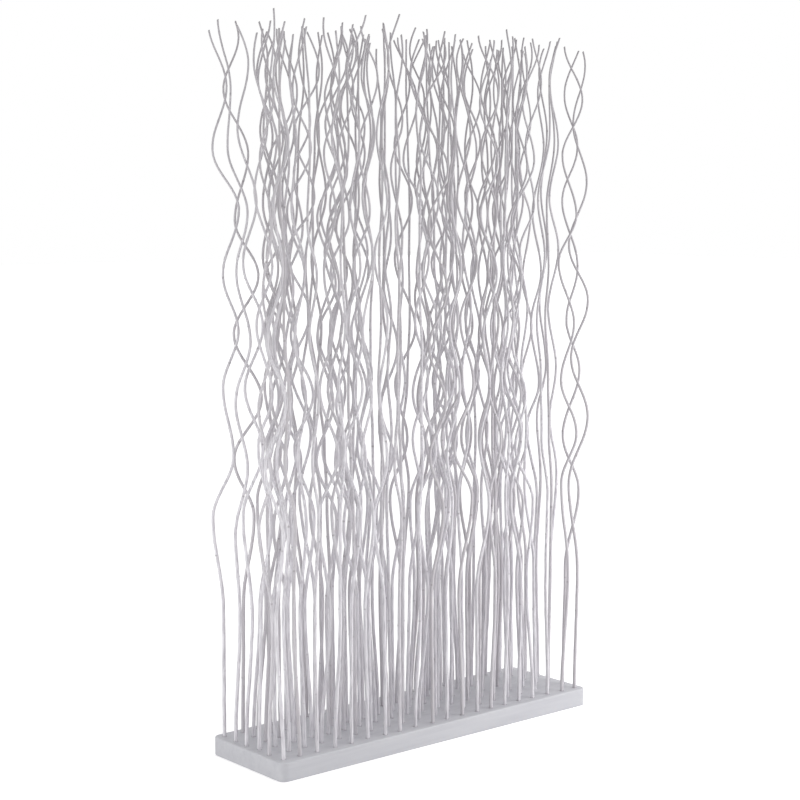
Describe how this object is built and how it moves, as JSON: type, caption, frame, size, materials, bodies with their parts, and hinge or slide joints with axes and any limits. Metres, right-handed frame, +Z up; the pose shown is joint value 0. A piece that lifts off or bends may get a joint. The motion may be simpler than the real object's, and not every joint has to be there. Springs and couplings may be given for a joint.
{
  "type": "willow screen",
  "caption": "Free-standing room divider: rows of wavy, tapered willow rods stand close together in drilled holes in a long low board, all painted white.",
  "frame": {"origin": "centre of the board's underside, on the floor", "axes": "+X along the board's length, +Y across it towards the back rows, +Z up along the rods"},
  "size_m": [1.0803, 0.37, 1.8488],
  "materials": {
    "painted_board": "matt white paint on a planed board",
    "painted_willow": "thin matt white paint on peeled willow, greyer over knots"
  },
  "bodies": {
    "root": {"board": "painted_board", "rods_01_front": "painted_willow", "rods_01_back": "painted_willow", "rods_02_front": "painted_willow", "rods_02_back": "painted_willow", "rods_03_front": "painted_willow", "rods_03_back": "painted_willow", "rods_04_front": "painted_willow", "rods_04_back": "painted_willow", "rods_05_front": "painted_willow", "rods_05_back": "painted_willow", "rods_06_front": "painted_willow", "rods_06_back": "painted_willow", "rods_07_front": "painted_willow", "rods_07_back": "painted_willow", "rods_08_front": "painted_willow", "rods_08_back": "painted_willow", "rods_09_front": "painted_willow", "rods_09_back": "painted_willow", "rods_10_front": "painted_willow", "rods_10_back": "painted_willow", "rods_11_front": "painted_willow", "rods_11_back": "painted_willow", "rods_12_front": "painted_willow", "rods_12_back": "painted_willow", "rods_13_front": "painted_willow", "rods_13_back": "painted_willow", "rods_14_front": "painted_willow", "rods_14_back": "painted_willow", "rods_15_front": "painted_willow", "rods_15_back": "painted_willow", "rods_16_front": "painted_willow", "rods_16_back": "painted_willow", "rods_17_front": "painted_willow", "rods_17_back": "painted_willow", "rods_18_front": "painted_willow", "rods_18_back": "painted_willow", "rods_19_front": "painted_willow", "rods_19_back": "painted_willow", "rods_20_front": "painted_willow", "rods_20_back": "painted_willow"}
  },
  "joints": []
}
